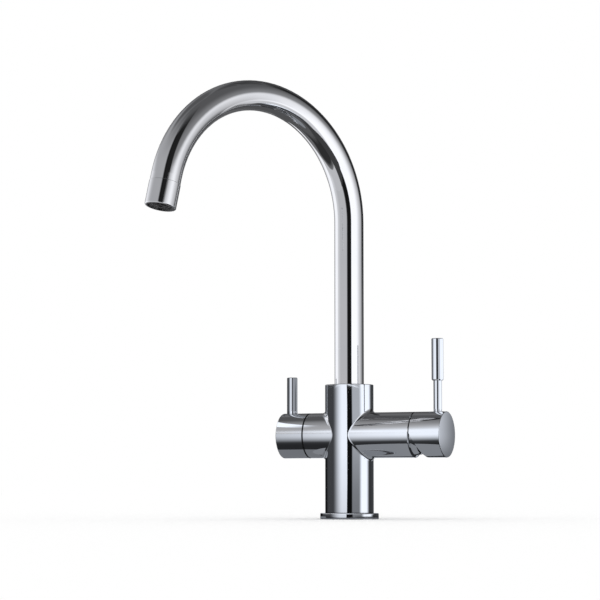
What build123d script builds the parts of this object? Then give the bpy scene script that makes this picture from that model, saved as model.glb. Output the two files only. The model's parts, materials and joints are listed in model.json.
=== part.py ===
from build123d import *
from math import cos, radians, sin, sqrt, tan
import os

# Three-way kitchen tap: a gooseneck spout on a round column, a mixer handle on the right arm
# and a filtered-water handle on the left arm. All sizes are in millimetres.
# The worktop is z = 0, the column stands on the Z axis, the mixer arm points along +X,
# the filtered-water arm along -X, and the front of the tap is -Y.

# Column, arms and base flange
COLUMN_DIA = 41.2
ARM_DIA = 38.5
ARM_HEIGHT = 70.7
MIXER_ARM_LENGTH = 60.6
FILTER_ARM_LENGTH = 35.2
BASE_DIA = 49.6
BASE_THICKNESS = 5.1
BASE_EDGE = 0.9
EDGE_BREAK = 0.4

# Spout
SPOUT_DIA = 25.0
SPOUT_WALL = 1.2
SPOUT_RISE = 138.8
BEND_RADIUS = 98.5
BEND_ANGLE = 166.8
SPOUT_SWIVEL = 25.4
OUTLET_LENGTH = 26.0
COLLAR_LENGTH = 20.3
COLLAR_STEP = 0.3
COLLAR_SPIGOT = 5.0
COLLAR_SPIGOT_WALL = 1.0
COLLAR_RIM = 0.8

# Clearances: a turning piece in its bore, a fixed piece in its seat, the end play of a turning
# piece, the film between two ceramic discs, and the gap round a piece that swings
RUNNING_FIT = 0.06
SEAT_FIT = 0.03
END_PLAY = 0.3
DISC_FILM = 0.05
SWING_GAP = 0.5

# Spout seat in the column, from the socket's floor upwards
SOCKET_FLOOR_RISE = 16.6
GUIDE_WALL = 2.0
GUIDE_LENGTH = 5.0
GUIDE_RECESS = 0.4
FERRULE_LAND = 1.6
O_RING_GROOVE = 2.0
O_RING_DEPTH = 1.5
SCREW_GROOVE = 3.0
SCREW_GROOVE_DEPTH = 1.6
TUBE_SEAT = 7.0
SPOUT_SCREW_DIA = 5.0
SPOUT_SCREW_POINT = 2.6
SPOUT_SCREW_SINK = 1.0

# Filtered-water way through the spout
STANDPIPE_DIA = 8.0
STANDPIPE_BORE = 4.0
STANDPIPE_THREAD = 4.6
STANDPIPE_THREAD_DIA = 7.0
STANDPIPE_HEX = 9.0
STANDPIPE_HEX_HEIGHT = 2.5
STANDPIPE_LENGTH = 8.0
STANDPIPE_GROOVE = 1.4
STANDPIPE_GROOVE_DEPTH = 0.9
DIVIDER_WALL = 1.6
DIVIDER_RING_HEIGHT = 4.0
DIVIDER_SPOKES = 3
DIVIDER_SPOKE_WIDTH = 2.0
FILTER_TUBE_DIA = 8.0
FILTER_TUBE_WALL = 1.0
NIPPLE_LENGTH = 7.5

# Outlet
AERATOR_INSET = 1.5
AERATOR_DEPTH = 13.0
AERATOR_SEAL = 1.6
AERATOR_RECESS = 1.2
AERATOR_SHELL = 1.0
AERATOR_PLATE = 2.5
AERATOR_HOLE_DIA = 1.5
AERATOR_OUTER_HOLES = 18
AERATOR_INNER_HOLES = 12
NOZZLE_DIA = 8.4
NOZZLE_BORE = 4.4
NOZZLE_RECESS = 0.6

# Handles
HANDLE_GAP = 1.0
MIXER_HANDLE_LENGTH = 27.0
MIXER_HANDLE_WALL = 1.3
MIXER_HANDLE_ROOM = 0.5
MIXER_LEVER_INSET = 8.2
MIXER_STEM_DIA = 7.0
MIXER_GRIP_DIA = 10.0
MIXER_GRIP_FOOT = 45.1
MIXER_LEVER_TOP = 80.4
FILTER_HANDLE_LENGTH = 24.3
FILTER_HANDLE_WALL = 3.05
FILTER_HANDLE_CAVITY = 11.3
FILTER_LEVER_INSET = 7.0
FILTER_LEVER_DIA = 9.0
FILTER_LEVER_TOP = 50.2
HANDLE_EDGE = 0.5
LEVER_EDGE = 0.5
GRIP_CHAMFER = 0.9
LEVER_SINK = 2.4
LEVER_STUD_DIA = 5.2
LEVER_STUD_LENGTH = 3.5
GLIDE_WASHER = 0.8
GLIDE_WASHER_STEP = 0.8

# Mixer cartridge, from the chamber's floor outwards along the arm
ARM_WALL = 3.25
NUT_SHOULDER = 2.0
PORT_SEAL_SQUEEZE = 0.6
PORT_SEAL_HEIGHT = 1.8
PORT_SEAL_WALL = 1.3
CARTRIDGE_BASE = 3.4
FIXED_DISC = 3.2
MOVING_DISC = 3.0
MIXING_POCKET_DEPTH = 1.6
CARRIER = 3.75
ROTOR_FLANGE = 3.0
HOUSING_WALL = 1.8
HOUSING_END = 2.0
ROTOR_DIA = 17.3
NECK_WALL = 1.84
NUT_THREAD = 5.1
NUT_HEX_HEIGHT = 1.8
COVER_STEP = 0.6
COVER_RIM = 0.8
COVER_HEIGHT = 5.5
COVER_WALL = 1.2
TILT_RANGE = 25.0
RELIEF_MARGIN = 3.0
RELIEF_START = 1.0
PIVOT_INSET = 0.6
PIVOT_PIN_DIA = 3.0
MIXER_SQUARE = 7.0
SPINDLE_SHOULDER = 4.5
SPINDLE_TAIL_DIA = 2.8
SPINDLE_BALL_DIA = 3.4
SPINDLE_TIP = 3.6

# Filtered-water valve, from the chamber's floor outwards along the arm
VALVE_FLOOR = 16.5
VALVE_ANNULUS = 3.0
VALVE_SLEEVE_WALL = 1.2
SEAT_SEAL = 2.5
SEAT_SEAL_WALL = 3.3
VALVE_DISC = 2.5
VALVE_DISC_HUB = 1.4
VALVE_DISC_RIM = 1.2
VALVE_PORT_ANGLE = 76.0
DRIVER_HEAD = 2.6
DRIVER_TONGUE = 1.2
DRIVER_TONGUE_WIDTH = 3.0
BONNET_SHOULDER = 1.5
BONNET_HEX_HEIGHT = 3.5
BONNET_HEX_GAP = 0.6
VALVE_SHAFT_DIA = 9.0
VALVE_SHAFT_PAST_CLIP = 1.0
CIRCLIP = 0.8
CIRCLIP_DEPTH = 0.6
CIRCLIP_WIDTH = 1.6
CIRCLIP_GAP = 3.0
FILTER_SQUARE = 6.0
FILTER_BOSS_WALL = 3.0
FILTER_SPINDLE_TIP = 3.0

# Waterways in the casting
RISER_DIA = 8.0
MIXER_RISER_X = 9.5
FILTER_RISER_X = -10.0
MIXER_PORT_DIA = 5.6
MIXER_PORT_CIRCLE = 7.0
INLET_PORT_ANGLE = 120.0
FILTER_INLET_DIA = 7.0
FILTER_DUCT_DIA = 4.4
FILTER_DUCT_RISE = 9.2

# Base fixings
HOSE_PORT_DIA = 9.0
STUD_HOLE_DIA = 6.8
STUD_Y = 12.0
GASKET_MARGIN = 1.8
GASKET_WIDTH = 3.0
GASKET_HEIGHT = 2.0
BASE_SCREW_DIA = 4.0
BASE_SCREW_HEAD_DIA = 7.6
BASE_SCREW_LENGTH = 12.0
BASE_SCREW_CIRCLE = 13.5
BASE_SCREW_ANGLES = (-90.0, 135.0)
BASE_SCREW_SINK = 0.3
HEX_KEY = 2.5
HEX_KEY_DEPTH = 1.8

# Radii that follow from the sizes above
COLUMN_R = COLUMN_DIA / 2
ARM_R = ARM_DIA / 2
BASE_R = BASE_DIA / 2
SPOUT_R = SPOUT_DIA / 2
SPOUT_BORE_R = SPOUT_R - SPOUT_WALL
SOCKET_R = SPOUT_R + GUIDE_WALL
FERRULE_R = SOCKET_R - RUNNING_FIT
STANDPIPE_R = STANDPIPE_DIA / 2
SLEEVE_BORE_R = STANDPIPE_R + RUNNING_FIT
FILTER_TUBE_R = FILTER_TUBE_DIA / 2
FILTER_TUBE_BORE_R = FILTER_TUBE_R - FILTER_TUBE_WALL
COLLAR_R = SPOUT_R + COLLAR_STEP
AERATOR_R = SPOUT_R - AERATOR_INSET
NOZZLE_R = NOZZLE_DIA / 2

# Heights of the spout seat
SOCKET_FLOOR = ARM_HEIGHT + SOCKET_FLOOR_RISE
FERRULE_FOOT = SOCKET_FLOOR + END_PLAY
LOWER_O_RING = FERRULE_FOOT + FERRULE_LAND + O_RING_GROOVE / 2
UPPER_O_RING = LOWER_O_RING + O_RING_GROOVE + FERRULE_LAND
SPOUT_SCREW_HEIGHT = UPPER_O_RING + O_RING_GROOVE / 2 + FERRULE_LAND + SCREW_GROOVE / 2
TUBE_FOOT = SPOUT_SCREW_HEIGHT + SCREW_GROOVE / 2 + FERRULE_LAND
FERRULE_TOP = TUBE_FOOT + TUBE_SEAT
GUIDE_FOOT = FERRULE_TOP + END_PLAY
GUIDE_TOP = GUIDE_FOOT + GUIDE_LENGTH
COLUMN_TOP = GUIDE_TOP + GUIDE_RECESS
BEND_HEIGHT = COLUMN_TOP + SPOUT_RISE
DIVIDER_FOOT = SOCKET_FLOOR + STANDPIPE_HEX_HEIGHT + END_PLAY
STANDPIPE_TOP = SOCKET_FLOOR + STANDPIPE_HEX_HEIGHT + STANDPIPE_LENGTH
SLEEVE_TOP = STANDPIPE_TOP + END_PLAY + DIVIDER_WALL / 2
FILTER_TUBE_FOOT = SLEEVE_TOP + SEAT_FIT

# Places along the outlet, measured from the end of the bend
SEAM = OUTLET_LENGTH - COLLAR_LENGTH
AERATOR_FLOOR = OUTLET_LENGTH - AERATOR_DEPTH
AERATOR_TOP = AERATOR_FLOOR + AERATOR_SEAL
AERATOR_FACE = OUTLET_LENGTH - AERATOR_RECESS
NOZZLE_TOP = AERATOR_FLOOR - COLLAR_SPIGOT

# Radii and places of the mixer cartridge, measured along the arm from the column's axis
NUT_R = ARM_R - ARM_WALL
HOUSING_R = NUT_R - NUT_SHOULDER
HOUSING_BORE_R = HOUSING_R - HOUSING_WALL
SHOULDER = MIXER_ARM_LENGTH - NUT_THREAD
HOUSING_CEILING = SHOULDER - HOUSING_END
ROTOR_FLANGE_TOP = HOUSING_CEILING - END_PLAY
ROTOR_FOOT = ROTOR_FLANGE_TOP - ROTOR_FLANGE
CARRIER_TOP = ROTOR_FOOT - END_PLAY
CARRIER_FOOT = CARRIER_TOP - CARRIER
MOVING_DISC_FACE = CARRIER_FOOT - MOVING_DISC
FIXED_DISC_TOP = MOVING_DISC_FACE - DISC_FILM
FIXED_DISC_FOOT = FIXED_DISC_TOP - FIXED_DISC
CARTRIDGE_FOOT = FIXED_DISC_FOOT - CARTRIDGE_BASE
MIXER_FLOOR = CARTRIDGE_FOOT - PORT_SEAL_SQUEEZE
ROTOR_R = ROTOR_DIA / 2
NECK_R = ROTOR_R + NECK_WALL
COVER_FACE = MIXER_ARM_LENGTH + COVER_HEIGHT
ROTOR_TOP = COVER_FACE + END_PLAY
ROTOR_FLANGE_R = HOUSING_BORE_R - END_PLAY
MIXER_PORT_R = MIXER_PORT_DIA / 2
PORT_SEAL_R = MIXER_PORT_R + PORT_SEAL_WALL
PIVOT = MIXER_ARM_LENGTH - PIVOT_INSET
MIXER_CAVITY_R = ARM_R - MIXER_HANDLE_WALL
COVER_R = MIXER_CAVITY_R - SWING_GAP
COVER_HOLLOW_R = COVER_R - COVER_WALL
COVER_FACE_R = sqrt(COVER_R**2 - (COVER_FACE - PIVOT) ** 2)
NUT_HEX_R = sqrt(COVER_HOLLOW_R**2 - (NUT_HEX_HEIGHT + PIVOT_INSET) ** 2) - END_PLAY
BALL_ARM = PIVOT - (CARRIER_FOOT + CARRIER_TOP) / 2
HALF_TILT = TILT_RANGE / 2
DISC_OFFSET = BALL_ARM * sin(radians(HALF_TILT))
MOVING_DISC_R = HOUSING_BORE_R - DISC_OFFSET - SWING_GAP
SPINDLE_HALF = MIXER_SQUARE / 2
PIVOT_PIN_R = PIVOT_PIN_DIA / 2

# Places of the mixer handle, along the arm and above the arm's axis
MIXER_HANDLE_START = MIXER_ARM_LENGTH + HANDLE_GAP
MIXER_HANDLE_END = MIXER_HANDLE_START + MIXER_HANDLE_LENGTH
COVER_SWING = (COVER_FACE - PIVOT) * cos(radians(TILT_RANGE)) + COVER_FACE_R * sin(radians(TILT_RANGE))
MIXER_CAVITY_END = PIVOT + COVER_SWING + MIXER_HANDLE_ROOM
MIXER_LEVER = MIXER_HANDLE_END - MIXER_LEVER_INSET
MIXER_STEM_R = MIXER_STEM_DIA / 2
LEVER_STUD_R = LEVER_STUD_DIA / 2
MIXER_LEVER_FOOT = sqrt(ARM_R**2 - MIXER_STEM_R**2) - LEVER_SINK
SPINDLE_REACH = (MIXER_LEVER - PIVOT) / cos(radians(HALF_TILT)) + SPINDLE_TIP
SPINDLE_CREST = (MIXER_LEVER + LEVER_STUD_R - PIVOT) * tan(radians(HALF_TILT))
MIXER_SCREW_FOOT = SPINDLE_CREST + SPINDLE_HALF / cos(radians(HALF_TILT)) + SEAT_FIT
MIXER_STUD_FOOT = MIXER_LEVER_FOOT - LEVER_STUD_LENGTH

# Places of the filtered-water valve and handle, along the left arm
FILTER_HANDLE_START = FILTER_ARM_LENGTH + HANDLE_GAP
FILTER_HANDLE_END = FILTER_HANDLE_START + FILTER_HANDLE_LENGTH
FILTER_CAVITY_END = FILTER_HANDLE_START + FILTER_HANDLE_CAVITY
FILTER_CAVITY_R = ARM_R - FILTER_HANDLE_WALL
FILTER_LEVER = FILTER_HANDLE_END - FILTER_LEVER_INSET
FILTER_LEVER_R = FILTER_LEVER_DIA / 2
FILTER_LEVER_FOOT = sqrt(ARM_R**2 - FILTER_LEVER_R**2) - LEVER_SINK
FILTER_SCREW_FOOT = FILTER_SQUARE / 2 + SEAT_FIT
FILTER_STUD_FOOT = FILTER_LEVER_FOOT - LEVER_STUD_LENGTH
BONNET_HEX_R = FILTER_CAVITY_R - BONNET_HEX_GAP
BONNET_R = BONNET_HEX_R * cos(radians(30)) - BONNET_SHOULDER
VALVE_CHAMBER_R = BONNET_R - SWING_GAP
VALVE_SLEEVE_R = VALVE_CHAMBER_R - VALVE_ANNULUS
VALVE_BORE_R = VALVE_SLEEVE_R - VALVE_SLEEVE_WALL
VALVE_DISC_R = VALVE_BORE_R - RUNNING_FIT
VALVE_SHAFT_R = VALVE_SHAFT_DIA / 2
SEAT_TOP = VALVE_FLOOR + SEAT_SEAL
VALVE_FILM = SEAT_TOP + VALVE_DISC
TURNING_DISC_FOOT = VALVE_FILM + DISC_FILM
TURNING_DISC_TOP = TURNING_DISC_FOOT + VALVE_DISC
DRIVER_TOP = TURNING_DISC_TOP + DRIVER_HEAD
BONNET_CEILING = DRIVER_TOP + DISC_FILM
BONNET_TOP = FILTER_ARM_LENGTH + BONNET_HEX_HEIGHT
CIRCLIP_FOOT = BONNET_TOP + DISC_FILM
FILTER_SQUARE_FOOT = CIRCLIP_FOOT + CIRCLIP + VALVE_SHAFT_PAST_CLIP
FILTER_SPINDLE_END = FILTER_LEVER + FILTER_SPINDLE_TIP
VALVE_GROOVE = (BONNET_CEILING + BONNET_TOP) / 2

# Frames: the mixer and filter frames have z along the arm and x upwards, the outlet frame has
# its origin at the end of the bend with z along the water's way
HEADING = Rot(0, 0, 270 - SPOUT_SWIVEL)
MIXER_FRAME = Pos(0, 0, ARM_HEIGHT) * Rot(0, 90, 0) * Rot(0, 0, 180)
FILTER_FRAME = Pos(0, 0, ARM_HEIGHT) * Rot(0, -90, 0)
TILTED_FRAME = MIXER_FRAME * Pos(0, 0, PIVOT) * Rot(0, HALF_TILT, 0)
BEND_END_X = BEND_RADIUS * (1 - cos(radians(BEND_ANGLE)))
BEND_END_Z = BEND_HEIGHT + BEND_RADIUS * sin(radians(BEND_ANGLE))
OUTLET_FRAME = HEADING * Pos(BEND_END_X, 0, BEND_END_Z) * Rot(0, BEND_ANGLE, 0)
UPRIGHT = Rot(0, 90, 0)


def rod(radius, start, end):
    """A cylinder on the Z axis between two heights."""
    return Pos(0, 0, (start + end) / 2) * Cylinder(radius, end - start)


def pipe(radius, bore, start, end):
    """A hollow cylinder on the Z axis."""
    return rod(radius, start, end) - rod(bore, start, end)


def hexagon(radius, start, end):
    """A hexagonal bar on the Z axis, with its corners at the radius."""
    return Pos(0, 0, start) * extrude(RegularPolygon(radius, 6), end - start)


def square(side, start, end):
    """A square bar on the Z axis."""
    return Pos(0, 0, (start + end) / 2) * Box(side, side, end - start)


def turned(points):
    """A solid turned about the Z axis from a profile of (radius, height) points."""
    return revolve(make_face(Plane.XZ * Polyline(*points, close=True)), Axis.Z)


def sector(inner, outer, start, end, angle):
    """A piece of a ring round the Z axis, centred on the X axis."""
    section = Pos((inner + outer) / 2, (start + end) / 2) * Rectangle(outer - inner, end - start)
    return Rot(0, 0, -angle / 2) * revolve(Plane.XZ * section, Axis.Z, revolution_arc=angle)


def o_ring(inner, outer, height):
    """A rubber ring of round section between two radii."""
    return Pos(0, 0, height) * Torus((inner + outer) / 2, (outer - inner) / 2)


def end_edge(part, axis, last):
    """The outermost round edge of a part at its last or first end along an axis."""
    group = part.edges().filter_by(GeomType.CIRCLE).group_by(axis)[-1 if last else 0]
    return group.sort_by(SortBy.RADIUS)[-1]


def grub_screw(radius, foot, top):
    """A headless screw with a hexagon socket in its top."""
    key = hexagon(HEX_KEY / sqrt(3), top - min(HEX_KEY_DEPTH, (top - foot) / 2), top)
    return rod(radius, foot, top) - key


def port_centres():
    """Places of the mixed, hot and cold ports round the cartridge's axis."""
    angles = (0, INLET_PORT_ANGLE, -INLET_PORT_ANGLE)
    return [Rot(0, 0, angle) * Pos(MIXER_PORT_CIRCLE, 0, 0) for angle in angles]


def riser_places():
    """Plan positions of the hot, cold and filtered-water risers."""
    side = MIXER_PORT_CIRCLE * sin(radians(INLET_PORT_ANGLE))
    return [(MIXER_RISER_X, -side), (MIXER_RISER_X, side), (FILTER_RISER_X, 0)]


def base_screw_places():
    """Places of the countersunk screws under the flange."""
    return [Rot(0, 0, angle) * Pos(BASE_SCREW_CIRCLE, 0, 0) for angle in BASE_SCREW_ANGLES]


def base_screw_form(clearance):
    """One countersunk screw standing on its head, grown by a clearance to make its hole."""
    head = BASE_SCREW_HEAD_DIA / 2 + clearance
    shank = BASE_SCREW_DIA / 2 + clearance
    neck = BASE_SCREW_SINK + head - shank
    top = BASE_SCREW_SINK + BASE_SCREW_LENGTH + clearance
    return turned([(0, BASE_SCREW_SINK), (head, BASE_SCREW_SINK), (shank, neck), (shank, top), (0, top)])


# Column and base

def make_body():
    """The plated casting: column, two arms, spout socket, valve chambers and waterways."""
    column = rod(COLUMN_R, BASE_THICKNESS, COLUMN_TOP)
    column = chamfer(end_edge(column, Axis.Z, True), EDGE_BREAK)
    right = rod(ARM_R, 0, MIXER_ARM_LENGTH)
    right = MIXER_FRAME * chamfer(end_edge(right, Axis.Z, True), EDGE_BREAK)
    left = rod(ARM_R, 0, FILTER_ARM_LENGTH)
    left = FILTER_FRAME * chamfer(end_edge(left, Axis.Z, True), EDGE_BREAK)
    casting = column + right + left
    casting -= rod(SOCKET_R, SOCKET_FLOOR, COLUMN_TOP)
    casting -= mixer_chamber()
    casting -= filter_chamber()
    casting -= mixer_waterways()
    casting -= filter_waterways()
    casting -= spout_screw_hole()
    for place in base_screw_places():
        casting -= place * base_screw_form(SEAT_FIT)
    return casting


def mixer_chamber():
    """The stepped bore of the right arm, for the cartridge and its nut."""
    bore = rod(HOUSING_R + SEAT_FIT, MIXER_FLOOR, SHOULDER)
    thread = rod(NUT_R, SHOULDER, MIXER_ARM_LENGTH)
    return MIXER_FRAME * (bore + thread)


def filter_chamber():
    """The stepped bore of the left arm, for the valve and its bonnet."""
    bore = rod(VALVE_CHAMBER_R, VALVE_FLOOR, BONNET_CEILING)
    thread = rod(BONNET_R, BONNET_CEILING, FILTER_ARM_LENGTH)
    return FILTER_FRAME * (bore + thread)


def mixer_waterways():
    """Hot and cold risers with their ducts, and the mixed water's duct to the spout socket."""
    mixed, hot, cold = port_centres()
    side = MIXER_PORT_CIRCLE * cos(radians(INLET_PORT_ANGLE))
    top = ARM_HEIGHT + side + MIXER_PORT_R
    ways = Part()
    for x, y in riser_places()[:2]:
        ways += Pos(x, y, 0) * rod(RISER_DIA / 2, BASE_THICKNESS, top)
    for port in (hot, cold):
        ways += MIXER_FRAME * port * rod(MIXER_PORT_R, MIXER_RISER_X, MIXER_FLOOR)
    outlet_x = (SPOUT_BORE_R + STANDPIPE_HEX / sqrt(3)) / 2
    ways += MIXER_FRAME * mixed * rod(MIXER_PORT_R, outlet_x, MIXER_FLOOR)
    ways += Pos(outlet_x, 0, 0) * rod(MIXER_PORT_R, ARM_HEIGHT + MIXER_PORT_CIRCLE, SOCKET_FLOOR)
    return ways


def filter_waterways():
    """The filtered-water riser, its way to the valve seat, and the duct back to the standpipe."""
    x, y = riser_places()[2]
    duct_height = ARM_HEIGHT + FILTER_DUCT_RISE
    ways = Pos(x, y, 0) * rod(RISER_DIA / 2, BASE_THICKNESS, ARM_HEIGHT + FILTER_INLET_DIA / 2)
    ways += FILTER_FRAME * rod(FILTER_INLET_DIA / 2, -FILTER_RISER_X, VALVE_FLOOR)
    duct = Pos(FILTER_DUCT_RISE, 0, 0) * rod(FILTER_DUCT_DIA / 2, -FILTER_DUCT_DIA / 2, VALVE_FLOOR)
    ways += FILTER_FRAME * duct
    ways += rod(STANDPIPE_BORE / 2, duct_height, SOCKET_FLOOR)
    ways += rod(STANDPIPE_THREAD_DIA / 2 + SEAT_FIT, SOCKET_FLOOR - STANDPIPE_THREAD, SOCKET_FLOOR)
    return ways


def spout_screw_hole():
    """The tapped hole at the back of the column, for the screw that holds the spout down."""
    hole = rod(SPOUT_SCREW_DIA / 2 + SEAT_FIT, FERRULE_R, COLUMN_R + SPOUT_SCREW_SINK)
    return Pos(0, 0, SPOUT_SCREW_HEIGHT) * Rot(-90, 0, 0) * hole


def make_base_flange():
    """The ring under the column, with the hose ports, the stud thread and the gasket groove."""
    flange = rod(BASE_R, 0, BASE_THICKNESS)
    flange = fillet(end_edge(flange, Axis.Z, True), BASE_EDGE)
    for x, y in riser_places():
        flange -= Pos(x, y, 0) * rod(HOSE_PORT_DIA / 2, 0, BASE_THICKNESS)
    flange -= Pos(0, STUD_Y, 0) * rod(STUD_HOLE_DIA / 2, 0, BASE_THICKNESS)
    outer = BASE_R - GASKET_MARGIN
    flange -= pipe(outer, outer - GASKET_WIDTH, 0, GASKET_HEIGHT)
    mouth = rod(BASE_SCREW_HEAD_DIA / 2 + SEAT_FIT, 0, BASE_SCREW_SINK)
    for place in base_screw_places():
        flange -= place * (base_screw_form(SEAT_FIT) + mouth)
    return flange


def make_base_gasket():
    """The rubber ring let into the flange's underside, flush with it."""
    outer = BASE_R - GASKET_MARGIN - SEAT_FIT
    return pipe(outer, outer - GASKET_WIDTH + 2 * SEAT_FIT, 0, GASKET_HEIGHT)


def make_base_screws():
    """Two countersunk screws that hold the flange to the casting."""
    screw = base_screw_form(0)
    screw -= hexagon(HEX_KEY / sqrt(3), BASE_SCREW_SINK, BASE_SCREW_SINK + HEX_KEY_DEPTH)
    return Compound([place * screw for place in base_screw_places()])


# Spout seat

def make_spout_guide_ring():
    """The plastic bush in the column's mouth that steadies the spout."""
    return pipe(SOCKET_R - SEAT_FIT, SPOUT_R + RUNNING_FIT, GUIDE_FOOT, GUIDE_TOP)


def make_spout_screw():
    """The grub screw whose point runs in the ferrule's groove."""
    groove = FERRULE_R - SCREW_GROOVE_DEPTH + END_PLAY
    thread = grub_screw(SPOUT_SCREW_DIA / 2, SOCKET_R + END_PLAY, COLUMN_R - SPOUT_SCREW_SINK)
    point = rod(SPOUT_SCREW_POINT / 2, groove, SOCKET_R + END_PLAY)
    return Pos(0, 0, SPOUT_SCREW_HEIGHT) * Rot(-90, 0, 0) * (thread + point)


def standpipe_groove_height():
    """Height of the middle of the standpipe's seal groove."""
    return (DIVIDER_FOOT + STANDPIPE_TOP) / 2


def make_filter_standpipe():
    """The nipple in the socket's floor that the spout's filtered-water way turns on."""
    middle = standpipe_groove_height()
    standpipe = rod(STANDPIPE_R, SOCKET_FLOOR, STANDPIPE_TOP)
    standpipe += hexagon(STANDPIPE_HEX / sqrt(3), SOCKET_FLOOR, SOCKET_FLOOR + STANDPIPE_HEX_HEIGHT)
    standpipe += rod(STANDPIPE_THREAD_DIA / 2, SOCKET_FLOOR - STANDPIPE_THREAD, SOCKET_FLOOR)
    standpipe -= rod(STANDPIPE_BORE / 2, SOCKET_FLOOR - STANDPIPE_THREAD, STANDPIPE_TOP)
    low = middle - STANDPIPE_GROOVE / 2
    high = middle + STANDPIPE_GROOVE / 2
    return standpipe - pipe(STANDPIPE_R, STANDPIPE_R - STANDPIPE_GROOVE_DEPTH, low, high)


def make_standpipe_o_ring():
    """The seal between the standpipe and the spout's divider."""
    inner = STANDPIPE_R - STANDPIPE_GROOVE_DEPTH + SEAT_FIT
    return o_ring(inner, SLEEVE_BORE_R - SEAT_FIT, standpipe_groove_height())


def make_spout_ferrule():
    """The brass sleeve on the tube's foot, with two seal grooves and the screw's groove."""
    ferrule = pipe(FERRULE_R, SPOUT_BORE_R, FERRULE_FOOT, FERRULE_TOP)
    ferrule -= rod(SPOUT_R + SEAT_FIT, TUBE_FOOT, FERRULE_TOP)
    for height in (LOWER_O_RING, UPPER_O_RING):
        low = height - O_RING_GROOVE / 2
        ferrule -= pipe(FERRULE_R, FERRULE_R - O_RING_DEPTH, low, low + O_RING_GROOVE)
    low = SPOUT_SCREW_HEIGHT - SCREW_GROOVE / 2
    ferrule -= pipe(FERRULE_R, FERRULE_R - SCREW_GROOVE_DEPTH, low, low + SCREW_GROOVE)
    return ferrule


def make_spout_o_rings():
    """Two rubber rings that seal the ferrule in the socket."""
    inner = FERRULE_R - O_RING_DEPTH + SEAT_FIT
    outer = SOCKET_R - SEAT_FIT
    return Compound([o_ring(inner, outer, height) for height in (LOWER_O_RING, UPPER_O_RING)])


def make_flow_divider():
    """A plastic spider in the ferrule: mixed water passes its spokes, filtered water its sleeve."""
    sleeve_r = SLEEVE_BORE_R + DIVIDER_WALL
    ring_r = SPOUT_BORE_R - SEAT_FIT
    ring_foot = DIVIDER_FOOT + DIVIDER_WALL
    ring_top = ring_foot + DIVIDER_RING_HEIGHT
    nipple_top = SLEEVE_TOP + NIPPLE_LENGTH
    divider = pipe(ring_r, ring_r - DIVIDER_WALL, ring_foot, ring_top)
    middle = (ring_foot + ring_top) / 2
    spoke_end = ring_r - DIVIDER_WALL / 2
    spoke = Pos(spoke_end / 2, 0, middle) * Box(spoke_end, DIVIDER_SPOKE_WIDTH, DIVIDER_RING_HEIGHT)
    for index in range(DIVIDER_SPOKES):
        divider += Rot(0, 0, index * 360 / DIVIDER_SPOKES) * spoke
    divider += rod(sleeve_r, DIVIDER_FOOT, SLEEVE_TOP)
    divider += rod(FILTER_TUBE_BORE_R - SEAT_FIT, SLEEVE_TOP, nipple_top)
    divider -= rod(SLEEVE_BORE_R, DIVIDER_FOOT, STANDPIPE_TOP + END_PLAY)
    return divider - rod(STANDPIPE_BORE / 2, STANDPIPE_TOP, nipple_top)


# Spout

def spout_sweep(radius, foot, past_bend):
    """A round bar along the gooseneck's centre line, from a height to a distance past the bend."""
    rise = Line((0, foot), (0, BEND_HEIGHT))
    bend = JernArc((0, BEND_HEIGHT), (0, 1), BEND_RADIUS, -BEND_ANGLE)
    run = Line(bend @ 1, bend @ 1 + (bend % 1) * past_bend)
    route = Plane.XZ * (rise + bend + run)
    return HEADING * sweep(Pos(0, 0, foot) * Circle(radius), path=route)


def make_spout_tube():
    """The gooseneck: one bent tube from the ferrule to the collar's seam."""
    return spout_sweep(SPOUT_R, TUBE_FOOT, SEAM) - spout_sweep(SPOUT_BORE_R, TUBE_FOOT, SEAM)


def make_filter_tube():
    """The small tube inside the gooseneck that keeps the filtered water apart."""
    outer = spout_sweep(FILTER_TUBE_R, FILTER_TUBE_FOOT, NOZZLE_TOP)
    return outer - spout_sweep(FILTER_TUBE_BORE_R, FILTER_TUBE_FOOT, NOZZLE_TOP)


def make_outlet_collar():
    """The ring at the end of the spout that holds the aerator."""
    spigot_r = SPOUT_BORE_R - SEAT_FIT
    collar = rod(COLLAR_R, SEAM, OUTLET_LENGTH)
    collar = fillet(end_edge(collar, Axis.Z, True), COLLAR_RIM)
    collar = chamfer(end_edge(collar, Axis.Z, False), COLLAR_STEP)
    collar += rod(spigot_r, SEAM - COLLAR_SPIGOT, SEAM)
    collar -= rod(spigot_r - COLLAR_SPIGOT_WALL, SEAM - COLLAR_SPIGOT, OUTLET_LENGTH)
    return OUTLET_FRAME * (collar - rod(AERATOR_R, AERATOR_FLOOR, OUTLET_LENGTH))


def make_aerator_seal():
    """The flat washer above the aerator."""
    inner = SPOUT_BORE_R - COLLAR_SPIGOT_WALL - AERATOR_SEAL
    return OUTLET_FRAME * pipe(AERATOR_R - SEAT_FIT, inner, AERATOR_FLOOR, AERATOR_TOP)


def make_aerator_insert():
    """The aerator: a shell with a drilled face round the filtered-water nozzle."""
    radius = AERATOR_R - SEAT_FIT
    plate = AERATOR_FACE - AERATOR_PLATE
    insert = rod(radius, AERATOR_TOP, AERATOR_FACE)
    insert -= rod(radius - AERATOR_SHELL, AERATOR_TOP, plate)
    insert -= rod(NOZZLE_R + SEAT_FIT, plate, AERATOR_FACE)
    hole = rod(AERATOR_HOLE_DIA / 2, plate, AERATOR_FACE)
    pitch = (radius - AERATOR_SHELL - NOZZLE_R) / 4
    insert -= ring_of(hole, NOZZLE_R + pitch, AERATOR_INNER_HOLES)
    insert -= ring_of(hole, NOZZLE_R + 3 * pitch, AERATOR_OUTER_HOLES)
    return OUTLET_FRAME * insert


def ring_of(shape, radius, count):
    """Copies of a shape spaced evenly on a circle round the Z axis."""
    return [place * shape for place in PolarLocations(radius, count)]


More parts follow.
